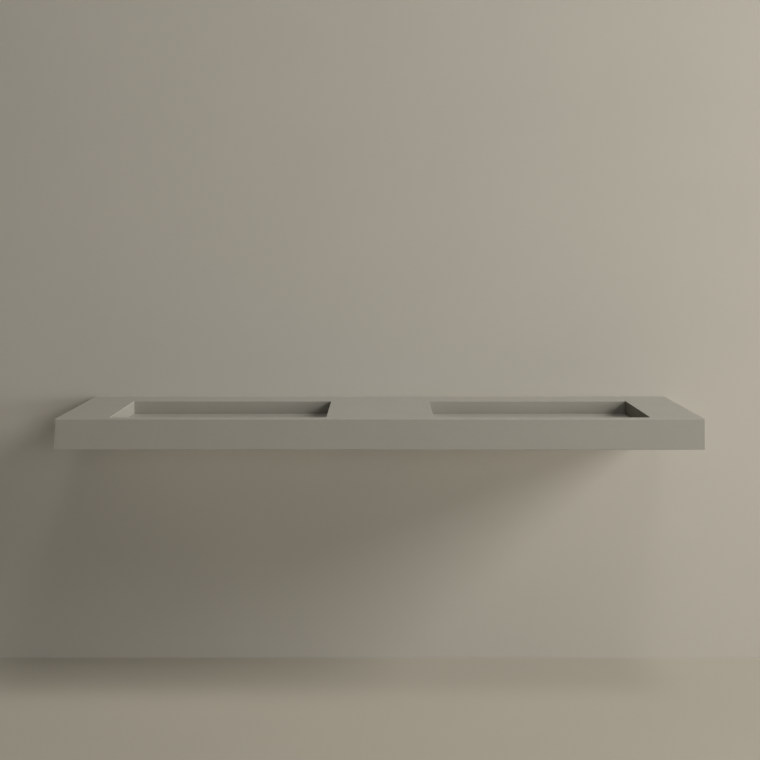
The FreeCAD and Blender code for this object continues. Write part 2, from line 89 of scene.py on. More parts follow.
def vector_calc(tree, operation, *terms):
    """One step of arithmetic on vectors, as the node itself: its result may be a value or a vector."""
    return add_node(tree, "VectorMath", dict(enumerate(terms)), operation=operation)


def ramp(tree, value, start, end, low=0.0, high=1.0):
    """The value eased from `low` at `start` to `high` at `end`, and level beyond them."""
    limits = {0: value, 1: start, 2: end, 3: low, 4: high}
    return add_node(tree, "MapRange", limits, interpolation_type="SMOOTHSTEP").outputs[0]


def tint(tree, share, first, second):
    """The first colour, going over to the second as the share rises."""
    return add_node(tree, "Mix", {0: share, 6: first, 7: second}, data_type="RGBA").outputs[2]


def new_effect(name, inputs, outputs):
    """An empty shader node group with named sockets, and the sockets of its two ends."""
    tree = bpy.data.node_groups.new(name, "ShaderNodeTree")
    for label, value in inputs.items():
        kind = "NodeSocketVector" if isinstance(value, tuple) else "NodeSocketFloat"
        tree.interface.new_socket(label, in_out="INPUT", socket_type=kind).default_value = value
    for label in outputs:
        tree.interface.new_socket(label, in_out="OUTPUT", socket_type="NodeSocketFloat")
    return tree, tree.nodes.new("NodeGroupInput").outputs, tree.nodes.new("NodeGroupOutput").inputs


def use_effect(tree, effect, **inputs):
    """The outputs of an effect that is placed in a material with its own inputs."""
    node = tree.nodes.new("ShaderNodeGroup")
    node.node_tree = effect
    for label, value in inputs.items():
        feed(tree, node.inputs[label], value)
    return node.outputs


def clouding_effect():
    """Soft patches of a given size: 0.5 + contrast (noise - 0.5), kept between 0 and 1."""
    tree, given, result = new_effect("clouding", {"Place": (0, 0, 0), "Size": 0.1, "Contrast": 2.0}, ["Mask"])
    scale = calc(tree, "DIVIDE", 1.0, given["Size"])
    patches = {"Vector": given["Place"], "Scale": scale, "Detail": 4.0, "Roughness": 0.55}
    level = add_node(tree, "TexNoise", patches).outputs[0]
    spread = calc(tree, "MULTIPLY", calc(tree, "SUBTRACT", level, 0.5), given["Contrast"])
    feed(tree, result["Mask"], add_node(tree, "Clamp", {0: calc(tree, "ADD", spread, 0.5)}).outputs[0])
    return tree


def fine_grain_effect():
    """A grain of a given size: plain noise, which stands for the height of the surface."""
    start = {"Place": (0, 0, 0), "Size": 0.001, "Detail": 1.0}
    tree, given, result = new_effect("fine grain", start, ["Height"])
    scale = calc(tree, "DIVIDE", 1.0, given["Size"])
    grain = {"Vector": given["Place"], "Scale": scale, "Detail": given["Detail"]}
    feed(tree, result["Height"], add_node(tree, "TexNoise", grain).outputs[0])
    return tree


def box_edges_effect():
    """The edges of an upright box: with s the distances beyond its faces, two of |s| are under the width at
    an edge, and the third s isn't above it."""
    start = {"Place": (0, 0, 0), "Middle": (0, 0, 0), "Half": (1, 1, 1), "Width": 0.003}
    tree, given, result = new_effect("box edges", start, ["Level", "Upright"])
    away = vector_calc(tree, "SUBTRACT", given["Place"], given["Middle"]).outputs[0]
    from_middle = vector_calc(tree, "ABSOLUTE", away).outputs[0]
    beyond_faces = vector_calc(tree, "SUBTRACT", from_middle, given["Half"]).outputs[0]
    beyond = add_node(tree, "SeparateXYZ", {0: beyond_faces}).outputs
    within = [ramp(tree, gap, 0.0, given["Width"], 1.0, 0.0) for gap in beyond]
    near = [ramp(tree, calc(tree, "ABSOLUTE", gap), 0.0, given["Width"], 1.0, 0.0) for gap in beyond]
    across = calc(tree, "MULTIPLY", near[0], within[1])
    along = calc(tree, "MULTIPLY", near[1], within[0])
    beside = calc(tree, "MAXIMUM", across, along)
    feed(tree, result["Level"], calc(tree, "MULTIPLY", beside, near[2]))
    corner = calc(tree, "MULTIPLY", near[0], near[1])
    feed(tree, result["Upright"], calc(tree, "MULTIPLY", corner, within[2]))
    return tree


def new_finish(name):
    """A material that is one Principled shader so far, with its tree, shader and Object coordinates."""
    material = bpy.data.materials.new(name)
    material.use_nodes = True
    tree = material.node_tree
    tree.nodes.clear()
    shader = add_node(tree, "BsdfPrincipled")
    add_node(tree, "OutputMaterial", {0: shader.outputs[0]})
    return material, tree, shader.inputs, add_node(tree, "TexCoord").outputs["Object"]


def set_bump(tree, shader, height, distance):
    """Raises the surface by the height, where a height of one stands for the distance."""
    feed(tree, shader["Normal"], add_node(tree, "Bump", {"Height": height, "Distance": distance}).outputs[0])


def dress(material, *names):
    """Gives nodes of the frame a finish."""
    for name in names:
        nodes[name].data.materials.clear()
        nodes[name].data.materials.append(material)


SIDES = ("left", "right")
SLAB_GREIGE = (0.300, 0.283, 0.239, 1)
SLAB_SHADE = (0.276, 0.260, 0.218, 1)
PALE_GRAIN = (0.365, 0.350, 0.305, 1)
DARK_GRAIN = (0.190, 0.175, 0.142, 1)
# Paler arrises: partly sanding wear, partly a painted highlight where the edges catch the light.
ARRIS_WEAR_AND_HIGHLIGHT = (0.425, 0.407, 0.355, 1)
# Painted shade: the darker tone laid along the inside corners of the basins, where shade falls.
CORNER_SHADE_TONE = (0.228, 0.213, 0.175, 1)
MOTTLE_SHARE = 0.4
GRAINS_PER_METRE = 620.0
PALE_STRENGTH = 0.5
DARK_STRENGTH = 0.45
ARRIS_WIDTH = 0.0020
CORNER_SHADE_WIDTH = 0.0045
CORNER_SHADE_FULL = -0.004
CORNER_SHADE_TOP = -0.001
UPRIGHT_SHADE_SHARE = 0.6
SLAB_ROUGHNESS = 0.50
CLOUD_ROUGHNESS = 0.10
MOTTLE_ROUGHNESS = 0.06
ARRIS_ROUGHNESS = -0.10
SLAB_GLOSS = 0.32
SANDING_SIZE = 1 / 1800
SANDING_SHARE = 0.25
SWELL_SIZE = 1 / 9
SWELL_SHARE = 3.0
SLAB_RELIEF = 0.00005
FAR_AWAY = 0.5

clouding = clouding_effect()
fine_grain = fine_grain_effect()
box_edges = box_edges_effect()


def box_of(low, high):
    """The middle and the half size of a box, for the effect that finds its edges."""
    return {"Middle": tuple((low + high) / 2), "Half": tuple((high - low) / 2)}


def basin_hollow(side):
    """The lowest and highest corners of the space inside one basin's strips, up to the deck's face."""
    front_low, front_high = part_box(f"{side}_basin_front_wall")
    rear_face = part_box(f"{side}_basin_rear_wall")[0].y
    sheet = front_high.y - front_low.y
    low = Vector((front_low.x + sheet, front_high.y, front_low.z))
    return low, Vector((front_high.x - sheet, rear_face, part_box("deck_panel")[1].z))


def solid_surface_finish():
    """Greige acrylic: soft clouds, pale and dark grains of filler, a hand-sanded face, arrises paler from
    wear and as a painted highlight, and a faint painted shade where the strips of the basins meet. A box that
    reaches far away has no edge there."""
    material, tree, shader, place = new_finish("solid_surface")
    clouds = use_effect(tree, clouding, Place=place, Size=0.16, Contrast=2.2)["Mask"]
    mottle = use_effect(tree, clouding, Place=place, Size=0.012, Contrast=2.0)["Mask"]
    cells = {"Vector": place, "Scale": GRAINS_PER_METRE, "Randomness": 1.0}
    grains = add_node(tree, "TexVoronoi", cells).outputs
    grain_kind = add_node(tree, "SeparateColor", {0: grains["Color"]}).outputs
    grain_core = ramp(tree, grains["Distance"], start=0.1, end=0.42, low=1.0, high=0.0)
    pale = calc(tree, "MULTIPLY", ramp(tree, grain_kind[0], start=0.72, end=0.95), grain_core)
    dark = calc(tree, "MULTIPLY", ramp(tree, grain_kind[1], start=0.78, end=0.97), grain_core)
    uneven = calc(tree, "MULTIPLY", clouds, 1 - MOTTLE_SHARE)
    uneven = calc(tree, "MULTIPLY_ADD", mottle, MOTTLE_SHARE, uneven)
    body = tint(tree, uneven, SLAB_SHADE, SLAB_GREIGE)
    body = tint(tree, calc(tree, "MULTIPLY", pale, PALE_STRENGTH), body, PALE_GRAIN)
    body = tint(tree, calc(tree, "MULTIPLY", dark, DARK_STRENGTH), body, DARK_GRAIN)

    up, back = Vector((0, 0, FAR_AWAY)), Vector((0, FAR_AWAY, 0))
    slab_box = box_of(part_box("front_apron")[0] - up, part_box("deck_panel")[1] + back)
    slab = use_effect(tree, box_edges, Place=place, Width=ARRIS_WIDTH, **slab_box)
    # The arrises are painted paler, partly as wear and partly as a painted highlight along the edges.
    wear_and_highlight = calc(tree, "MAXIMUM", slab["Level"], slab["Upright"])
    # Painted shade: the foot and the upright corners inside each basin are darkened in patches, where shade
    # gathers.
    corner_shade = 0.0
    for side in SIDES:
        low, high = basin_hollow(side)
        rim = use_effect(tree, box_edges, Place=place, Width=ARRIS_WIDTH, **box_of(low - up, high))
        foot = use_effect(tree, box_edges, Place=place, Width=CORNER_SHADE_WIDTH, **box_of(low, high + up))
        wear_and_highlight = calc(tree, "MAXIMUM", wear_and_highlight, rim["Level"])
        upright = calc(tree, "MULTIPLY", foot["Upright"], UPRIGHT_SHADE_SHARE)
        corner_shade = calc(tree, "MAXIMUM", corner_shade, calc(tree, "MAXIMUM", foot["Level"], upright))
    height = add_node(tree, "SeparateXYZ", {0: place}).outputs[2]
    in_basin = ramp(tree, height, start=CORNER_SHADE_FULL, end=CORNER_SHADE_TOP, low=1.0, high=0.0)
    patchy = use_effect(tree, clouding, Place=place, Size=0.03, Contrast=2.5)["Mask"]
    wear_and_highlight = calc(tree, "MULTIPLY", wear_and_highlight, ramp(tree, patchy, start=0.1, end=0.9, low=0.35, high=0.8))
    corner_shade = calc(tree, "MULTIPLY", corner_shade, in_basin)
    corner_shade = calc(tree, "MULTIPLY", corner_shade, ramp(tree, patchy, start=0.0, end=0.8, low=0.6, high=1.0))
    body = tint(tree, corner_shade, body, CORNER_SHADE_TONE)
    feed(tree, shader["Base Color"], tint(tree, wear_and_highlight, body, ARRIS_WEAR_AND_HIGHLIGHT))

    rough = calc(tree, "MULTIPLY_ADD", clouds, CLOUD_ROUGHNESS, SLAB_ROUGHNESS)
    rough = calc(tree, "MULTIPLY_ADD", mottle, MOTTLE_ROUGHNESS, rough)
    feed(tree, shader["Roughness"], calc(tree, "MULTIPLY_ADD", wear_and_highlight, ARRIS_ROUGHNESS, rough))
    shader["Specular IOR Level"].default_value = SLAB_GLOSS
    sanding = use_effect(tree, fine_grain, Place=place, Size=SANDING_SIZE, Detail=2.0)["Height"]
    swell = use_effect(tree, fine_grain, Place=place, Size=SWELL_SIZE, Detail=1.0)["Height"]
    relief = calc(tree, "MULTIPLY_ADD", sanding, SANDING_SHARE, calc(tree, "MULTIPLY", swell, SWELL_SHARE))
    set_bump(tree, shader, relief, SLAB_RELIEF)
    return material


solid_surface = solid_surface_finish()
dress(solid_surface, "deck_panel", "front_apron", "left_end_apron", "right_end_apron")


# Each basin is four upright strips and a floor under a cut-out of the deck, of the same sheet. The floor
# falls to the waste, and the adhesive is wiped to a small cove where the strips meet it and one another.
BASIN_PIECES = ("front_wall", "rear_wall", "outer_wall", "inner_wall", "floor")
COVE_RADIUS = 0.0009
COVE_BED = 0.0006
COVE_STEPS = 7
MERGE_DISTANCE = 2e-6
SHARP_ANGLE = np.radians(38)


def shell(points, along=False):
    """The corners and the quads of a grid of points (rows, columns, 3), one quad for each cell. The columns
    close into a loop, and so do the rows where `along` is true."""
    rows, columns = points.shape[:2]
    index = np.arange(rows * columns).reshape(rows, columns)
    index = np.hstack([index, index[:, :1]])
    if along:
        index = np.vstack([index, index[:1]])
    quads = np.stack([index[:-1, :-1], index[:-1, 1:], index[1:, 1:], index[1:, :-1]], axis=-1)
    return points.reshape(-1, 3), quads.reshape(-1, 4)


def capped(rings):
    """Rings of points with one more ring at each end, drawn in to the end's middle, so that it closes."""
    middles = [np.broadcast_to(ring.mean(0), ring.shape) for ring in (rings[0], rings[-1])]
    return np.concatenate([middles[0][None], rings, middles[1][None]])


def place_piece(name, mesh, material, body, slot, *replaced):
    """An object for a finished mesh, shaded smooth, with its finish, its body and the nodes it stands for."""
    mesh.polygons.foreach_set("use_smooth", np.ones(len(mesh.polygons), bool))
    mesh.materials.clear()
    mesh.materials.append(material)
    piece = bpy.data.objects.new(name, mesh)
    bpy.context.scene.collection.objects.link(piece)
    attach(piece, body)
    if replaced:
        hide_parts(*replaced)
    return piece


def make_piece(name, shells, material, body, slot, *replaced):
    """One piece of several shells: points that fall together are merged, and faces are turned outwards."""
    first = np.cumsum([0] + [len(points) for points, _ in shells])
    points = np.vstack([points for points, _ in shells])
    quads = np.vstack([quads + start for (_, quads), start in zip(shells, first)])
    mesh = bpy.data.meshes.new(name)
    mesh.from_pydata(points.tolist(), [], quads.tolist())
    work = bmesh.new()
    work.from_mesh(mesh)
    bmesh.ops.remove_doubles(work, verts=work.verts, dist=MERGE_DISTANCE)
    bmesh.ops.recalc_face_normals(work, faces=work.faces)
    work.to_mesh(mesh)
    work.free()
    piece = place_piece(name, mesh, material, body, slot, *replaced)
    mesh.set_sharp_from_angle(angle=SHARP_ANGLE)
    return piece


def cove_section():
    """A hollow quarter circle between two faces, and a corner that beds behind both: (out, up) distances
    radius - radius sin a and radius - radius cos a, for a from 0 to a right angle."""
    angle = np.linspace(0, np.pi / 2, COVE_STEPS)
    hollow = COVE_RADIUS - COVE_RADIUS * np.stack([np.sin(angle), np.cos(angle)], axis=-1)
    ends = np.array([[-COVE_BED, COVE_RADIUS], [-COVE_BED, -COVE_BED], [COVE_RADIUS, -COVE_BED]])
    return np.vstack([hollow, ends])


for side in SIDES:
    dress(solid_surface, *(f"{side}_basin_{piece}" for piece in BASIN_PIECES))
    low, high = (np.array(corner) for corner in basin_hollow(side))
    middle, half = (low + high)[:2] / 2, (high - low)[:2] / 2
    foot, rim = low[2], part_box(f"{side}_basin_front_wall")[1].z
    corners = np.array([[-1, -1], [1, -1], [1, 1], [-1, 1]])
    section = cove_section()
    across = middle + corners[None] * (half - section[:, :1])[:, None]
    level = np.broadcast_to(foot + section[:, None, 1:], across.shape[:2] + (1,))
    coves = [shell(np.concatenate([across, level], axis=-1), along=True)]
    for corner in corners:
        upright = middle + corner * (half - section)
        ends = [np.column_stack([upright, np.full(len(upright), z)]) for z in (foot, rim)]
        coves.append(shell(capped(np.stack(ends))))
    make_piece(f"{side}_basin_coves", coves, solid_surface, "top", "solid_surface")


# Each waste is a chromed brass body that drops through the floor's seat: a flange, a throat, and a tail
# with a pipe thread for the nut, a relief, and a thread for the trap. A bridge in the bore carries a hub.
MM = 0.001
WASTE_COLUMNS = 96
EASE_STEPS = 5
PIPE_PITCH = 2.309
PIPE_DEPTH = 1.15
ROWS_PER_PITCH = 9
FLANGE_RADIUS = 33.0
FLANGE_THICKNESS = 3.0
FLANGE_BEVEL_WIDTH = 1.2
FLANGE_BEVEL_HEIGHT = 0.9
THROAT_RADIUS = 21.0
THROAT_DEPTH = 6.0
BORE_RADIUS = 17.5
TAIL_RADIUS = 20.95
TAIL_LENGTH = 70.0
RELIEF_RADIUS = 19.95
RELIEF_TOP = -28.5
RELIEF_UNDER = -30.5
BRIDGE_TOP = -32.0
BRIDGE_UNDER = -42.0
HUB_BORE = 4.0
HUB_RADIUS = 7.0
HUB_EASES = (0.3, 0.8, 0.8, 0.3)
HUB_COLUMNS = 48
BRIDGE_HALF = 3.0
BRIDGE_INNER = 6.4
BRIDGE_OUTER = 18.6
BRIDGE_EASE = 0.9
# Each corner of the body's profile has a radius, a height and an ease. The threads follow two of the corners.
BODY_PROFILE = np.array([
    (THROAT_RADIUS, 0, 0.5),
    (BORE_RADIUS, -THROAT_DEPTH, 1.2),
    (BORE_RADIUS, -TAIL_LENGTH, 0.7),
    (TAIL_RADIUS, -TAIL_LENGTH, 1.0),
    (TAIL_RADIUS, RELIEF_UNDER, 0.35),
    (RELIEF_RADIUS, RELIEF_UNDER, 0.35),
    (RELIEF_RADIUS, RELIEF_TOP, 0.35),
    (TAIL_RADIUS, RELIEF_TOP, 0.35),
    (TAIL_RADIUS, -FLANGE_THICKNESS, 0.3),
    (FLANGE_RADIUS, -FLANGE_THICKNESS, 0.3),
    (FLANGE_RADIUS, -FLANGE_BEVEL_HEIGHT, 0.5),
    (FLANGE_RADIUS - FLANGE_BEVEL_WIDTH, 0, 0.7),
])
TRAP_THREAD_CORNER = 3
NUT_THREAD_CORNER = 7
WASTES = {}
for side in SIDES:
    body_low, body_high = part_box(f"{side}_waste_body")
    WASTES[side] = ((body_low.x + body_high.x) / 2, (body_low.y + body_high.y) / 2, body_high.z)


def eased(corners, eases, steps=EASE_STEPS):
    """A closed profile whose corners are eased: a corner C becomes the curve
    (1 - t)^2 A + 2 t (1 - t) C + t^2 B, where A and B lie the ease before and after it."""
    corner = np.asarray(corners, float)
    before = np.roll(corner, 1, axis=0) - corner
    after = np.roll(corner, -1, axis=0) - corner
    ease = np.broadcast_to(np.asarray(eases, float), len(corner))[:, None]
    start = corner + before / np.linalg.norm(before, axis=1, keepdims=True) * ease
    end = corner + after / np.linalg.norm(after, axis=1, keepdims=True) * ease
    t = np.linspace(0, 1, steps)[None, :, None]
    curve = (1 - t) ** 2 * start[:, None] + 2 * t * (1 - t) * corner[:, None] + t**2 * end[:, None]
    return curve.reshape(-1, 2)


def turned(profile, axis, columns=WASTE_COLUMNS, groove=0.0):
    """A profile of (radius, height) in millimetres carried round an upright axis, whose third value is the
    level of height zero: x = ax + r cos a, y = ay + r sin a, z = az + h, with the groove taken off r."""
    angle = np.linspace(0, 2 * np.pi, columns, endpoint=False)
    radius = (profile[:, :1] - groove) * MM
    height = np.broadcast_to(profile[:, 1:] * MM, radius.shape[:1] + angle.shape)
    return np.stack([radius * np.cos(angle), radius * np.sin(angle), height], axis=-1) + np.array(axis)


def threaded_rows(start, end):
    """Rows between two profile points, close enough to show a thread, with each row's share of its depth:
    full in the middle, and running out to nothing over the last pitch at both ends."""
    count = int(abs(end[1] - start[1]) / PIPE_PITCH * ROWS_PER_PITCH)
    rows = np.linspace(start, end, count)[1:-1]
    place = np.arange(len(rows))
    share = np.clip(np.minimum(place, place[::-1]) / ROWS_PER_PITCH, 0, 1)
    return rows, share


def with_threads(profile, *corners):
    """The rows of an eased profile with a round-crested right-hand thread in the straight run after each of
    these corners, and its groove, depth (1 - cos 2 pi (h / pitch - a / 2 pi)) / 2 at height h and angle a."""
    rows, shares = [], []
    first = 0
    for corner in corners:
        last = (corner + 1) * EASE_STEPS
        thread, share = threaded_rows(profile[last - 1], profile[last])
        rows += [profile[first:last], thread]
        shares += [np.zeros(last - first), share]
        first = last
    rows = np.vstack([*rows, profile[first:]])
    share = np.concatenate([*shares, np.zeros(len(profile) - first)])
    angle = np.linspace(0, 2 * np.pi, WASTE_COLUMNS, endpoint=False)
    wave = 1 - np.cos(2 * np.pi * rows[:, 1:] / PIPE_PITCH - angle)
    return rows, share[:, None] * PIPE_DEPTH * wave / 2


def bar_along_x(section, axis, start, end):
    """A section of (y, z) in millimetres carried straight from x = start to x = end beside an axis."""
    rings = np.stack([np.column_stack([np.full(len(section), x), section]) for x in (start, end)])
    return capped(rings * MM + np.array(axis))


def turned_lines_effect():
    """Fine rings left by turning about an upright axis: noise that varies with radius and height alone."""
    start = {"Place": (0, 0, 0), "Axis": (0, 0, 0), "Spacing": 0.0004}
    tree, given, result = new_effect("turned lines", start, ["Height"])
    away = vector_calc(tree, "SUBTRACT", given["Place"], given["Axis"]).outputs[0]
    level_part = vector_calc(tree, "MULTIPLY", away, (1, 1, 0)).outputs[0]
    radius = vector_calc(tree, "LENGTH", level_part).outputs["Value"]
    height = add_node(tree, "SeparateXYZ", {0: away}).outputs[2]
    ring_place = add_node(tree, "CombineXYZ", {0: radius, 1: height}).outputs[0]
    scale = calc(tree, "DIVIDE", 1.0, given["Spacing"])
    rings = add_node(tree, "TexNoise", {"Vector": ring_place, "Scale": scale, "Detail": 2.0}).outputs[0]
    feed(tree, result["Height"], rings)
    return tree


def set_colour(tree, shader, share, first, second, most=1.0):
    """Colours the surface: the first tone, with up to this much of the second as the share rises."""
    feed(tree, shader["Base Color"], tint(tree, calc(tree, "MULTIPLY", share, most), first, second))


def set_roughness(tree, shader, share, smooth, rough):
    """Roughens the surface, from smooth to rough as the share rises."""
    feed(tree, shader["Roughness"], calc(tree, "MULTIPLY_ADD", share, rough - smooth, smooth))


CHROME_TONE = (0.60, 0.61, 0.62, 1)
CHROME_HAZE = (0.47, 0.475, 0.475, 1)
turned_lines = turned_lines_effect()


def chrome_finish(side):
    """Polished chrome over turned brass: faint rings, and a water haze that dulls it in patches."""
    material, tree, shader, place = new_finish(f"{side}_chrome_plate")
    haze = use_effect(tree, clouding, Place=place, Size=0.014, Contrast=2.6)["Mask"]
    drops = use_effect(tree, clouding, Place=place, Size=0.0035, Contrast=4.0)["Mask"]
    film = calc(tree, "MULTIPLY", haze, ramp(tree, drops, start=0.5, end=1.0))
    set_colour(tree, shader, film, CHROME_TONE, CHROME_HAZE, most=0.6)
    set_roughness(tree, shader, film, smooth=0.06, rough=0.26)
    shader["Metallic"].default_value = 1.0
    rings = use_effect(tree, turned_lines, Place=place, Axis=WASTES[side], Spacing=0.0005)["Height"]
    set_bump(tree, shader, rings, distance=0.000002)
    return material


chrome = {side: chrome_finish(side) for side in WASTES}
profile = eased(BODY_PROFILE[:, :2], BODY_PROFILE[:, 2])
body_rows, body_groove = with_threads(profile, TRAP_THREAD_CORNER, NUT_THREAD_CORNER)
hub_top = [(HUB_BORE, BRIDGE_TOP), (HUB_RADIUS, BRIDGE_TOP)]
hub_foot = [(HUB_RADIUS, BRIDGE_UNDER), (HUB_BORE, BRIDGE_UNDER)]
hub_rows = eased([*hub_top, *hub_foot], HUB_EASES)
bridge_foot = [(-BRIDGE_HALF, BRIDGE_UNDER), (BRIDGE_HALF, BRIDGE_UNDER)]
bridge_top = [(BRIDGE_HALF, BRIDGE_TOP), (-BRIDGE_HALF, BRIDGE_TOP)]
bridge_section = eased([*bridge_foot, *bridge_top], BRIDGE_EASE)
for side, axis in WASTES.items():
    tube = shell(turned(body_rows, axis, groove=body_groove), along=True)
    hub = shell(turned(hub_rows, axis, HUB_COLUMNS), along=True)
    left_arm = shell(bar_along_x(bridge_section, axis, -BRIDGE_OUTER, -BRIDGE_INNER))
    right_arm = shell(bar_along_x(bridge_section, axis, BRIDGE_INNER, BRIDGE_OUTER))
    waste = [tube, hub, left_arm, right_arm]
    make_piece(f"{side}_waste", waste, chrome[side], "top", "chrome_plate", f"{side}_waste_body")


# Rubber seals the waste: a gasket under the flange, a thick washer under the floor, and the ring in which the
# cap closes. All are moulded black rubber, a little swollen where they are squeezed.
RUBBER_BLACK = (0.020, 0.020, 0.021, 1)
RUBBER_BLOOM = (0.050, 0.049, 0.047, 1)
GASKET_BORE = 21.1
GASKET_EASE = 0.6
UNDER_WASHER_EASES = (0.5, 0.5, 1.8, 1.8)
SEAL_BORE = 23.0
SEAL_EASES = (0.4, 0.8, 0.8, 0.4)
RING_STEPS = 7


def rubber_finish():
    """Black rubber with a grey bloom in patches and a fine moulded grain."""
    material, tree, shader, place = new_finish("black_rubber")
    bloom = use_effect(tree, clouding, Place=place, Size=0.007, Contrast=2.6)["Mask"]
    set_colour(tree, shader, bloom, RUBBER_BLACK, RUBBER_BLOOM, most=0.8)
    set_roughness(tree, shader, bloom, smooth=0.58, rough=0.76)
    grain = use_effect(tree, fine_grain, Place=place, Size=1 / 2600, Detail=2.0)["Height"]
    set_bump(tree, shader, grain, distance=0.00003)
    return material


def flat_ring(side, node, bore, ease):
    """A ring as wide and as high as its node, with this bore and eased corners."""
    low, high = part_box(f"{side}_{node}")
    level = WASTES[side][2]
    rim = (high.x - low.x) / 2 / MM
    top, under = (high.z - level) / MM, (low.z - level) / MM
    corners = [(bore, top), (bore, under), (rim, under), (rim, top)]
    return shell(turned(eased(corners, ease, RING_STEPS), WASTES[side]), along=True)


rubber = rubber_finish()
for side in WASTES:
    for node, bore, ease, body in (
        ("flange_gasket", GASKET_BORE, GASKET_EASE, "top"),
        ("under_washer", GASKET_BORE, UNDER_WASHER_EASES, "top"),
        ("plug_seal", SEAL_BORE, SEAL_EASES, f"{side}_plug"),
    ):
        ring = flat_ring(side, node, bore, ease)
        make_piece(f"{side}_{node}_ring", [ring], rubber, body, "black_rubber", f"{side}_{node}")


# Between the rubber and the nut lies a thin washer of white nylon, so that the nut turns without dragging the
# rubber round.
NYLON_WHITE = (0.66, 0.65, 0.62, 1)
NYLON_SHADE = (0.54, 0.52, 0.47, 1)
NYLON_EASE = 0.35


def nylon_finish():
    """Waxy white nylon that yellows a little in patches."""
    material, tree, shader, place = new_finish("white_nylon")
    stain = use_effect(tree, clouding, Place=place, Size=0.009, Contrast=2.4)["Mask"]
    set_colour(tree, shader, stain, NYLON_WHITE, NYLON_SHADE)
    set_roughness(tree, shader, stain, smooth=0.36, rough=0.51)
    grain = use_effect(tree, fine_grain, Place=place, Size=1 / 1400, Detail=1.0)["Height"]
    set_bump(tree, shader, grain, distance=0.00002)
    return material


nylon = nylon_finish()
for side in WASTES:
    ring = flat_ring(side, "slip_washer", GASKET_BORE, NYLON_EASE)
    make_piece(f"{side}_slip_ring", [ring], nylon, "top", "white_nylon", f"{side}_slip_washer")


# A six-sided brass nut draws the waste down: turned from bar, its points chamfered at both faces, with a
# round collar that presses on the nylon. The cartridge's post and plunger are turned brass too.
BRASS_TONE = (0.58, 0.42, 0.17, 1)
BRASS_TARNISH = (0.34, 0.225, 0.085, 1)
NUT_FLATS = 55.0
NUT_BORE = 21.1
NUT_CHAMFER = 27.1
NUT_COLUMNS = 144
NUT_ROWS = 22
COLLAR_RADIUS = 27.0
COLLAR_HEIGHT = 3.0
COLLAR_BEVEL = 0.4


def brass_finish(name, axis):
    """Bright turned brass that tarnishes brown in patches, with the rings of the tool."""
    material, tree, shader, place = new_finish(name)
    tarnish = use_effect(tree, clouding, Place=place, Size=0.008, Contrast=2.6)["Mask"]
    set_colour(tree, shader, tarnish, BRASS_TONE, BRASS_TARNISH, most=0.7)
    set_roughness(tree, shader, tarnish, smooth=0.26, rough=0.48)
    shader["Metallic"].default_value = 1.0
    rings = use_effect(tree, turned_lines, Place=place, Axis=axis, Spacing=0.0003)["Height"]
    set_bump(tree, shader, rings, distance=0.00002)
    return material


def six_sided(columns):
    """The angles about a hexagon's middle, and its radius at each angle a as a share of its flats' distance
    from there: 1 / cos(a mod 60 - 30)."""
    angle = np.linspace(0, 2 * np.pi, columns, endpoint=False)
    return angle, 1 / np.cos(angle % (np.pi / 3) - np.pi / 6)


def nut_shell(axis, collar, under):
    """The nut as rings: its hexagon is cut at both faces by a 30 degree cone, so that its radius is
    min(hexagon, chamfer + height from the face / tan 30). The bore and the round collar close it."""
    angle, hexagon = six_sided(NUT_COLUMNS)
    top = collar - COLLAR_HEIGHT
    height = np.linspace(top, under, NUT_ROWS)[:, None]
    cone = NUT_CHAMFER + np.minimum(top - height, height - under) / np.tan(np.pi / 6)
    flats = np.minimum(NUT_FLATS / 2 * hexagon, cone)
    bore_rows = [(NUT_BORE, under), (NUT_BORE, collar)]
    bevel_rows = [(COLLAR_RADIUS - COLLAR_BEVEL, collar), (COLLAR_RADIUS, collar - COLLAR_BEVEL)]
    round_rows = np.array([*bore_rows, *bevel_rows, (COLLAR_RADIUS, top)])
    radius = np.vstack([flats, np.broadcast_to(round_rows[:, :1], (len(round_rows), NUT_COLUMNS))])
    level = np.broadcast_to(np.vstack([height, round_rows[:, 1:]]), radius.shape)
    grid = np.stack([radius * np.cos(angle), radius * np.sin(angle), level], axis=-1)
    return shell(grid * MM + np.array(axis), along=True)


for side, axis in WASTES.items():
    brass = brass_finish(f"{side}_brass", axis)
    nut_low, nut_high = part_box(f"{side}_backnut")
    nut = nut_shell(axis, (nut_high.z - axis[2]) / MM, (nut_low.z - axis[2]) / MM)
    make_piece(f"{side}_nut", [nut], brass, "top", "brass", f"{side}_backnut")
    dress(brass, f"{side}_cartridge_post", f"{side}_plunger")


# A coil spring of stainless wire stands on the post inside the plunger and lifts the plug. Its end turns lie
# close and flat.
WIRE_TONE = (0.46, 0.46, 0.47, 1)
WIRE_DULL = (0.30, 0.30, 0.30, 1)
WIRE_SIZE = 1.0
WIRE_COLUMNS = 12
SPRING_RADIUS = 3.6
SPRING_TURNS = 7.5
POINTS_PER_TURN = 32
CLOSED_TURNS = 0.6
OPENING_TURNS = 0.5
CLOSED_RISE = 0.3


def wire_finish():
    """Drawn stainless wire, dulled in patches by its drawing lubricant."""
    material, tree, shader, place = new_finish("spring_steel")
    dull = use_effect(tree, clouding, Place=place, Size=0.002, Contrast=2.4)["Mask"]
    set_colour(tree, shader, dull, WIRE_TONE, WIRE_DULL)
    set_roughness(tree, shader, dull, smooth=0.24, rough=0.44)
    shader["Metallic"].default_value = 1.0
    grain = use_effect(tree, fine_grain, Place=place, Size=1 / 3000, Detail=1.0)["Height"]
    set_bump(tree, shader, grain, distance=0.00001)
    return material


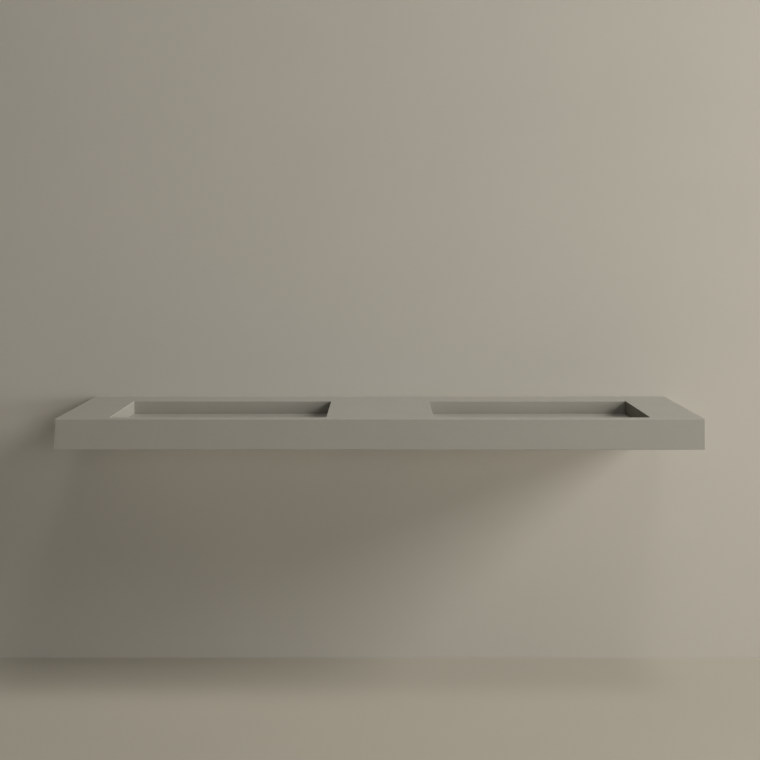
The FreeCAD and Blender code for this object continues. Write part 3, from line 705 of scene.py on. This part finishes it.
def coil(axis, low, high):
    """A round wire on a helix: the middle line is (r cos a, r sin a, z), where the rise of z is slight in the
    first and last turns, and the section is n cos b + (t x n) sin b about it, n towards the axis."""
    radius, wire = SPRING_RADIUS * MM, WIRE_SIZE * MM
    angle = np.linspace(0, 2 * np.pi * SPRING_TURNS, int(SPRING_TURNS * POINTS_PER_TURN))
    turn = angle / (2 * np.pi)
    from_end = np.minimum(turn, SPRING_TURNS - turn)
    opened = np.clip((from_end - CLOSED_TURNS) / OPENING_TURNS, 0, 1)
    rise = CLOSED_RISE + opened * opened * (3 - 2 * opened)
    level = np.concatenate([[0], np.cumsum((rise[1:] + rise[:-1]) / 2)])
    level = low + wire / 2 + (high - low - wire) * level / level[-1]
    line = np.stack([radius * np.cos(angle), radius * np.sin(angle), level], axis=-1)
    tangent = np.gradient(line, axis=0)
    tangent /= np.linalg.norm(tangent, axis=1, keepdims=True)
    inward = np.stack([-np.cos(angle), -np.sin(angle), 0 * angle], axis=-1)
    beside = np.cross(tangent, inward)
    around = np.linspace(0, 2 * np.pi, WIRE_COLUMNS, endpoint=False)[None, :, None]
    rings = line[:, None] + wire / 2 * (np.cos(around) * inward[:, None] + np.sin(around) * beside[:, None])
    return shell(capped(rings) + np.array([axis[0], axis[1], 0]))


spring_steel = wire_finish()
for side, axis in WASTES.items():
    node = f"{side}_plunger_spring"
    spring_low, spring_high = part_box(node)
    post_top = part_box(f"{side}_cartridge_post")[1].z
    turns = coil(axis, spring_low.z, spring_high.z)
    spring = make_piece(f"{side}_spring", [turns], spring_steel, "top", "spring_steel", node)
    foot = (axis[0], axis[1], post_top)
    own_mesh(spring)


# The cap that is pressed by hand is a domed chrome disc with an eased rim, and a blind hole below for the
# plunger's spigot. Its dome is part of a ball.
CAP_RIM_HEIGHT = 2.5
CAP_HOLE_RADIUS = 4.15
CAP_HOLE_DEPTH = 2.5
CAP_EASES = (0, 0.1, 0.3, 0.5, 0.8, 0)
CAP_COLUMNS = 128
DOME_STEPS = 28
for side, axis in WASTES.items():
    cap_low, cap_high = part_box(f"{side}_plug_cap")
    under, crown = (cap_low.z - axis[2]) / MM, (cap_high.z - axis[2]) / MM
    rim = (cap_high.x - cap_low.x) / 2 / MM
    shoulder, hole_top = under + CAP_RIM_HEIGHT, under + CAP_HOLE_DEPTH
    hole = [(0, hole_top), (CAP_HOLE_RADIUS, hole_top), (CAP_HOLE_RADIUS, under)]
    disc = [(rim, under), (rim, shoulder), (0, crown)]
    edge = eased([*hole, *disc], CAP_EASES)[:-EASE_STEPS]
    ball = (rim**2 + (crown - shoulder) ** 2) / (2 * (crown - shoulder))
    reach = np.linspace(edge[-1, 0], 0, DOME_STEPS)[1:]
    dome = np.column_stack([reach, crown - ball + np.sqrt(ball**2 - reach**2)])
    cap = shell(turned(np.vstack([edge, dome]), axis, CAP_COLUMNS))
    make_piece(f"{side}_cap", [cap], chrome[side], f"{side}_plug", "chrome_plate", f"{side}_plug_cap")


# Four brackets carry the top: plates of steel bolted to the wall, each with an arm welded to it and a web
# below the arm that tapers to its tip. Short welds hold the web, and all is powder coated dark grey.
COAT_GREY = (0.046, 0.048, 0.051, 1)
COAT_PALE = (0.075, 0.077, 0.079, 1)
BRACKETS = ("left_outer", "left_inner", "right_inner", "right_outer")
EDGE_EASE = 0.7
EDGE_ANGLE = np.radians(40)
FLAT_ANGLE = np.radians(0.5)
PLATE_THICKNESS = 6.0
ARM_THICKNESS = 5.0
WEB_HALF = 3.0
WELD_LEG = 3.6
WELD_PITCH = 2.2
WELD_RIPPLE = 0.06
WELD_CROWN = 0.25
WELD_LAG = 0.5
WELD_BED = 0.4
WELD_POINTS = 9
ROWS_PER_RIPPLE = 6
THINNEST_END = 0.02
WEB_WELD_SETBACKS = (30.0, 160.0, 300.0)
WEB_WELD_RUN = 55.0
PLATE_WELD_FOOT_GAP = 2.0
PLATE_WELD_HEAD_GAP = 4.0
ARM_WELD_START = 6.0
ARM_WELD_END = 19.0


def coat_finish():
    """Powder coat: a pebbled skin with slight unevenness of tone, and a little dust."""
    material, tree, shader, place = new_finish("bracket_coat")
    dust = use_effect(tree, clouding, Place=place, Size=0.05, Contrast=2.4)["Mask"]
    set_colour(tree, shader, dust, COAT_GREY, COAT_PALE, most=0.7)
    set_roughness(tree, shader, dust, smooth=0.42, rough=0.58)
    pebbles = use_effect(tree, fine_grain, Place=place, Size=1 / 520, Detail=1.0)["Height"]
    set_bump(tree, shader, pebbles, distance=0.00012)
    return material


def weld_bead(corner, run, first_leg, second_leg):
    """A bead in a corner: at a share s of the run and t of the section, the point is corner + run s +
    leg ((1 - t) u + t v + crown sin(pi t) (u + v) / 2), where the legs u and v swell with every ripple and
    draw in to nothing at both ends. A point behind the corner closes the section."""
    length = np.linalg.norm(run) / MM
    along = np.linspace(0, 1, int(length / WELD_PITCH * ROWS_PER_RIPPLE))[:, None, None]
    t = np.linspace(0, 1, WELD_POINTS)[None, :, None]
    ripple = np.abs(np.sin(np.pi * (along * length / WELD_PITCH - WELD_LAG * np.sin(np.pi * t))))
    ends = np.sqrt(np.clip(np.minimum(along, 1 - along) * length / WELD_LEG, THINNEST_END, 1))
    leg = WELD_LEG * MM * (1 - WELD_RIPPLE + WELD_RIPPLE * ripple) * ends
    first, second = np.array(first_leg, float), np.array(second_leg, float)
    bow = (1 - t) * first + t * second + WELD_CROWN * np.sin(np.pi * t) * (first + second) / 2
    line = np.array(corner) + along * np.array(run)
    behind = line - WELD_BED * MM * (first + second)
    return shell(capped(np.concatenate([line + leg * bow, behind], axis=1)))


def eased_copy(name, node, material, slot):
    """A copy of a node's mesh, its loose triangles merged into whole faces, with its edges eased."""
    mesh = nodes[node].data.copy()
    mesh.name = name
    normals = mesh.attributes.get("custom_normal")
    if normals:
        mesh.attributes.remove(normals)
    work = bmesh.new()
    work.from_mesh(mesh)
    bmesh.ops.remove_doubles(work, verts=work.verts, dist=MERGE_DISTANCE)
    bmesh.ops.dissolve_limit(work, angle_limit=FLAT_ANGLE, verts=work.verts, edges=work.edges)
    work.to_mesh(mesh)
    work.free()
    bevel = place_piece(name, mesh, material, "top", slot, node).modifiers.new("eased edges", "BEVEL")
    bevel.width = EDGE_EASE * MM
    bevel.segments = 2
    bevel.limit_method = "ANGLE"
    bevel.angle_limit = EDGE_ANGLE
    bevel.harden_normals = True


coat = coat_finish()
for name in BRACKETS:
    node = f"{name}_bracket"
    eased_copy(f"{name}_steel", node, coat, "bracket_coat")
    low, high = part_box(node)
    middle = (low.x + high.x) / 2
    face = high.y - PLATE_THICKNESS * MM
    arm_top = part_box(f"{name}_batten")[0].z
    arm_under = arm_top - ARM_THICKNESS * MM
    foot = low.z + PLATE_WELD_FOOT_GAP * MM
    rise = arm_under - low.z - (PLATE_WELD_FOOT_GAP + PLATE_WELD_HEAD_GAP) * MM
    beads = []
    for out in (-1, 1):
        web_side = middle + out * WEB_HALF * MM
        for setback in WEB_WELD_SETBACKS:
            start = (web_side, face - setback * MM, arm_under)
            beads.append(weld_bead(start, (0, -WEB_WELD_RUN * MM, 0), (out, 0, 0), (0, 0, -1)))
        beads.append(weld_bead((web_side, face, foot), (0, 0, rise), (out, 0, 0), (0, -1, 0)))
        start = (middle + out * ARM_WELD_START * MM, face, arm_under)
        reach = out * (ARM_WELD_END - ARM_WELD_START) * MM
        beads.append(weld_bead(start, (reach, 0, 0), (0, -1, 0), (0, 0, -1)))
    start = (middle - ARM_WELD_END * MM, face, arm_top)
    beads.append(weld_bead(start, (2 * ARM_WELD_END * MM, 0, 0), (0, -1, 0), (0, 0, 1)))
    make_piece(f"{name}_welds", beads, coat, "top", "bracket_coat")


# A batten of the same sheet is bonded under the deck above each bracket, with two brass inserts pressed into
# it. Zinc-plated screws with round socket heads hold the arms to the inserts, each over a flat washer.
ZINC_TONE = (0.53, 0.54, 0.56, 1)
ZINC_DULL = (0.36, 0.37, 0.37, 1)
SCREW_SPOTS = ((-12.0, -100.0), (12.0, -340.0))
SCREW_COLUMNS = 48
SCREW_LENGTH = 17.3
SHANK_RADIUS = 3.0
TIP_BEVEL = 0.7
HEAD_RADIUS = 5.25
HEAD_HEIGHT = 3.3
HEAD_BEVEL = 0.1
CROWN_FLAT = 2.4
CROWN_HEIGHT = 2.6
CROWN_STEPS = 10
SOCKET_HALF = 2.0
SOCKET_DEPTH = 1.3
SOCKET_BEVEL_WIDTH = 0.1
SOCKET_BEVEL_DEPTH = 0.15
WASHER_BORE = 3.15
WASHER_RADIUS = 6.0
WASHER_THICKNESS = 1.6
WASHER_EASE = 0.25


def zinc_finish():
    """Bright zinc plate, clouded in patches."""
    material, tree, shader, place = new_finish("zinc_plate")
    cloud = use_effect(tree, clouding, Place=place, Size=0.004, Contrast=2.6)["Mask"]
    set_colour(tree, shader, cloud, ZINC_TONE, ZINC_DULL)
    set_roughness(tree, shader, cloud, smooth=0.26, rough=0.46)
    shader["Metallic"].default_value = 1.0
    grain = use_effect(tree, fine_grain, Place=place, Size=1 / 2200, Detail=1.0)["Height"]
    set_bump(tree, shader, grain, distance=0.00001)
    return material


def screw_grid():
    """A screw from its socket to its tip, head down, in millimetres about its own axis: rings of (radius,
    level), where the socket's rings are six-sided and the others round. The head's crown is a quarter of an
    ellipse."""
    angle, hexagon = six_sided(SCREW_COLUMNS)
    socket = np.array([
        (0, SOCKET_DEPTH),
        (SOCKET_HALF, SOCKET_DEPTH),
        (SOCKET_HALF, SOCKET_BEVEL_DEPTH),
        (SOCKET_HALF + SOCKET_BEVEL_WIDTH, 0),
    ])
    swell = np.linspace(0, np.pi / 2, CROWN_STEPS)
    crown_radius = CROWN_FLAT + (HEAD_RADIUS - CROWN_FLAT) * np.sin(swell)
    crown = np.column_stack([crown_radius, CROWN_HEIGHT - CROWN_HEIGHT * np.cos(swell)])
    shank = np.array([
        (HEAD_RADIUS, HEAD_HEIGHT - HEAD_BEVEL),
        (HEAD_RADIUS - HEAD_BEVEL, HEAD_HEIGHT),
        (SHANK_RADIUS, HEAD_HEIGHT),
        (SHANK_RADIUS, SCREW_LENGTH - TIP_BEVEL),
        (SHANK_RADIUS - TIP_BEVEL, SCREW_LENGTH),
        (0, SCREW_LENGTH),
    ])
    rows = np.vstack([socket, crown, shank])
    in_socket = (np.arange(len(rows)) < len(socket))[:, None]
    radius = rows[:, :1] * np.where(in_socket, hexagon, 1.0)
    level = np.broadcast_to(rows[:, 1:], radius.shape)
    return np.stack([radius * np.cos(angle), radius * np.sin(angle), level], axis=-1)


dress(solid_surface, *(f"{name}_batten" for name in BRACKETS))
dress(brass_finish("insert_brass", (0, 0, 0)), "batten_inserts")
zinc = zinc_finish()
screw = screw_grid() * MM
screw_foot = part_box("bracket_screws")[0].z
washer_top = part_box("bracket_washers")[1].z
washer_bore = [(WASHER_BORE, 0), (WASHER_BORE, -WASHER_THICKNESS)]
washer_rim = [(WASHER_RADIUS, -WASHER_THICKNESS), (WASHER_RADIUS, 0)]
washer = eased([*washer_bore, *washer_rim], WASHER_EASE)
screws, washers = [], []
for name in BRACKETS:
    low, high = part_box(f"{name}_bracket")
    for offset, setback in SCREW_SPOTS:
        spot = ((low.x + high.x) / 2 + offset * MM, setback * MM)
        screws.append(shell(screw + np.array([*spot, screw_foot])))
        washers.append(shell(turned(washer, (*spot, washer_top), SCREW_COLUMNS), along=True))
make_piece("arm_screws", screws, zinc, "top", "zinc_plate", "bracket_screws")
make_piece("arm_washers", washers, zinc, "top", "zinc_plate", "bracket_washers")


# The stage is a plain wall behind the top and a plain pale floor below it. Both are seen from one side only,
# so that the part can be looked at from behind and from below.
WALL_TONE = (0.449, 0.420, 0.362, 1)
FLOOR_TONE = (0.385, 0.352, 0.285, 1)
PATCH_SHADE = 0.965
WALL_GAP = 0.0025
FLOOR_LEVEL = -0.828
STAGE_REACH = 12.0
WALL_HEIGHT = 5.0
BACKGROUND = (0.80, 0.79, 0.77, 1)
FADE_START = 2.2
FADE_END = 5.0


def seen_rays(tree):
    """One for what the camera sees, directly, in a reflection or through a clear piece, and nothing for the
    light on the part."""
    path = add_node(tree, "LightPath").outputs
    seen = calc(tree, "MAXIMUM", path["Is Camera Ray"], path["Is Glossy Ray"])
    return calc(tree, "MAXIMUM", seen, path["Is Transmission Ray"])


def stage_plane(name, corners, tone):
    """A flat four-sided piece of the stage, whose back lets all light through, and which fades to the plain
    background far from the part."""
    mesh = bpy.data.meshes.new(name)
    mesh.from_pydata(corners, [], [(0, 1, 2, 3)])
    material = bpy.data.materials.new(name)
    material.use_nodes = True
    tree = material.node_tree
    tree.nodes.clear()
    place = add_node(tree, "TexCoord").outputs["Object"]
    uneven = use_effect(tree, clouding, Place=place, Size=0.35, Contrast=1.6)["Mask"]
    darker = tuple(part * PATCH_SHADE for part in tone[:3]) + (1,)
    plaster = add_node(tree, "BsdfDiffuse", {0: tint(tree, uneven, tone, darker)}).outputs[0]
    distance = vector_calc(tree, "LENGTH", place).outputs["Value"]
    fade = calc(tree, "MULTIPLY", seen_rays(tree), ramp(tree, distance, FADE_START, FADE_END))
    plain = add_node(tree, "Emission", {0: BACKGROUND}).outputs[0]
    faded = add_node(tree, "MixShader", {0: fade, 1: plaster, 2: plain}).outputs[0]
    clear = add_node(tree, "BsdfTransparent").outputs[0]
    behind = add_node(tree, "NewGeometry").outputs["Backfacing"]
    one_sided = add_node(tree, "MixShader", {0: behind, 1: faded, 2: clear}).outputs[0]
    add_node(tree, "OutputMaterial", {0: one_sided})
    mesh.materials.append(material)
    plane = bpy.data.objects.new(name, mesh)
    bpy.context.scene.collection.objects.link(plane)
    return plane


wall = stage_plane(
    "wall",
    [(-STAGE_REACH, WALL_GAP, FLOOR_LEVEL), (STAGE_REACH, WALL_GAP, FLOOR_LEVEL),
     (STAGE_REACH, WALL_GAP, WALL_HEIGHT), (-STAGE_REACH, WALL_GAP, WALL_HEIGHT)],
    WALL_TONE,
)
stage_plane(
    "floor",
    [(-STAGE_REACH, -STAGE_REACH, FLOOR_LEVEL), (STAGE_REACH, -STAGE_REACH, FLOOR_LEVEL),
     (STAGE_REACH, STAGE_REACH, FLOOR_LEVEL), (-STAGE_REACH, STAGE_REACH, FLOOR_LEVEL)],
    FLOOR_TONE,
)
# The lamps behind the wall shine through it, and it throws no light back into the corners of the basins.
wall.visible_shadow = False
wall.visible_diffuse = False


# One wide soft light stands to the right, as a large window would, with weaker ones high up, in front and low
# at the right. Three lamps behind the wall light the deck's rear, the underside and the left end.
LAMPS = {
    "window_light": ((8.89, -2.95, 4.83), (3.7, 3.7), 1135.0),
    "high_light": ((1.60, -2.60, 7.20), (1.8, 1.8), 103.0),
    "front_light": ((1.60, -8.00, 0.50), (2.4, 1.4), 85.0),
    "low_light": ((3.80, -3.45, 0.28), (1.4, 1.0), 60.0),
    "rear_light": ((0.80, 4.20, 3.60), (5.0, 1.0), 55.0),
    "back_strip": ((0.0, 2.60, -0.66), (4.0, 0.2), 95.0),
    "left_strip": ((-4.0, 1.40, -0.60), (1.2, 0.3), 46.0),
}
REAR_LIGHT_TONE = (1.0, 0.94, 0.84)
EVEN_LIGHT = (0.004, 0.004, 0.003, 1)
middle = (cad_box[0] + cad_box[1]) / 2
for name, (place, size, power) in LAMPS.items():
    lamp_data = bpy.data.lights.new(name, "AREA")
    lamp_data.shape = "RECTANGLE"
    lamp_data.size, lamp_data.size_y = size
    lamp_data.energy = power
    lamp = bpy.data.objects.new(name, lamp_data)
    lamp.location = place
    lamp.rotation_euler = (middle - lamp.location).to_track_quat("-Z", "Y").to_euler()
    lamp.visible_camera = False
    bpy.context.scene.collection.objects.link(lamp)
bpy.data.lights["rear_light"].color = REAR_LIGHT_TONE

world = bpy.data.worlds.new("studio")
world.use_nodes = True
tree = world.node_tree
tree.nodes.clear()
even = add_node(tree, "Background", {0: EVEN_LIGHT, 1: 1.0}).outputs[0]
backdrop = add_node(tree, "Background", {0: BACKGROUND, 1: 1.0}).outputs[0]
either = add_node(tree, "MixShader", {0: seen_rays(tree), 1: even, 2: backdrop}).outputs[0]
add_node(tree, "OutputWorld", {0: either})
bpy.context.scene.world = world
bpy.context.scene.view_settings.view_transform = "Standard"


# The camera stands level and square to the front, a little above the top, with its lens shifted down.
camera_data = bpy.data.cameras.new("camera")
camera_data.sensor_width = 36.0
camera_data.lens = 56.9
camera_data.shift_y = -0.1839
camera = bpy.data.objects.new("camera", camera_data)
camera.location = (0, -3.802, 0.4945)
camera.rotation_euler = (np.pi / 2, 0, 0)
bpy.context.scene.collection.objects.link(camera)
bpy.context.scene.camera = camera
